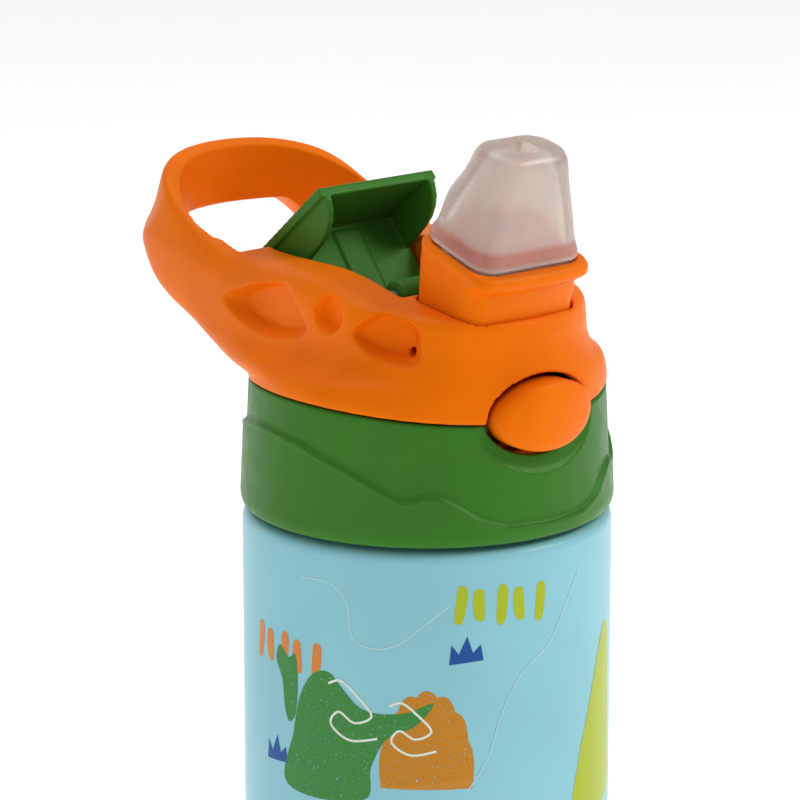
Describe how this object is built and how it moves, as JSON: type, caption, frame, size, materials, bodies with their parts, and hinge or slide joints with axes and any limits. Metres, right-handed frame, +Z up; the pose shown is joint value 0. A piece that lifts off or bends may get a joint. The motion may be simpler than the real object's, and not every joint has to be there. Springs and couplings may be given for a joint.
{
  "type": "kids water bottle",
  "caption": "Kids' steel water bottle with a screw lid, sprung flip cover, soft drinking spout, straw, release button and carry loop.",
  "frame": {"origin": "centre of the foot, on the surface that the bottle stands on", "axes": "+Z up along the body's axis; -Y is the front, where the spout and the release button are; the carry loop points to +Y"},
  "size_m": [0.0738, 0.1121, 0.1967],
  "materials": {
    "body_paint": null,
    "stainless": "satin",
    "green_plastic": "satin",
    "orange_plastic": "satin",
    "silicone": "translucent, smooth",
    "clear_plastic": "translucent",
    "white_plastic": "matte"
  },
  "bodies": {
    "bottle": {"outer_shell": "body_paint", "inner_liner": "stainless", "base_plate": "stainless"},
    "lid_seal": {"lid_gasket": "silicone"},
    "lid": {"screw_collar": "green_plastic", "lid_top": "orange_plastic", "spout_base": "orange_plastic", "plate_seal": "silicone", "vent_valve": "silicone", "straw": "clear_plastic", "spout": "silicone", "hinge_pin": "stainless", "cover_spring": "stainless", "button_spring_left": "stainless", "button_spring_right": "stainless"},
    "cover": {"flip_cover": "green_plastic"},
    "release": {"release_button": "orange_plastic", "latch_slider": "white_plastic"}
  },
  "joints": [
    {"name": "lid_lift", "type": "slide", "parent": "bottle", "child": "lid_seal", "axis": [0, 0, 1], "range_m": [0, 0.0161]},
    {"name": "lid_turn", "type": "hinge", "parent": "lid_seal", "child": "lid", "pos_m": [0, 0, 0.121], "axis": [0, 0, 1], "range_deg": [0, 720]},
    {"name": "cover_hinge", "type": "hinge", "parent": "lid", "child": "cover", "pos_m": [0, -0.0069, 0.1651], "axis": [1, 0, 0], "range_deg": [0, 126], "stiffness_Nm_per_rad": 0.02, "springref_deg": -28.65, "deforming": ["spout", "cover_spring"]},
    {"name": "button_push", "type": "slide", "parent": "lid", "child": "release", "axis": [0, 1, 0], "range_m": [0, 0.0025], "stiffness_N_per_m": 300, "springref_m": -0.002, "deforming": ["button_spring_left", "button_spring_right"]}
  ],
  "couplings": [
    {"joint": "lid_lift", "follows": "lid_turn", "m_per_rad": 0.0012732}
  ]
}
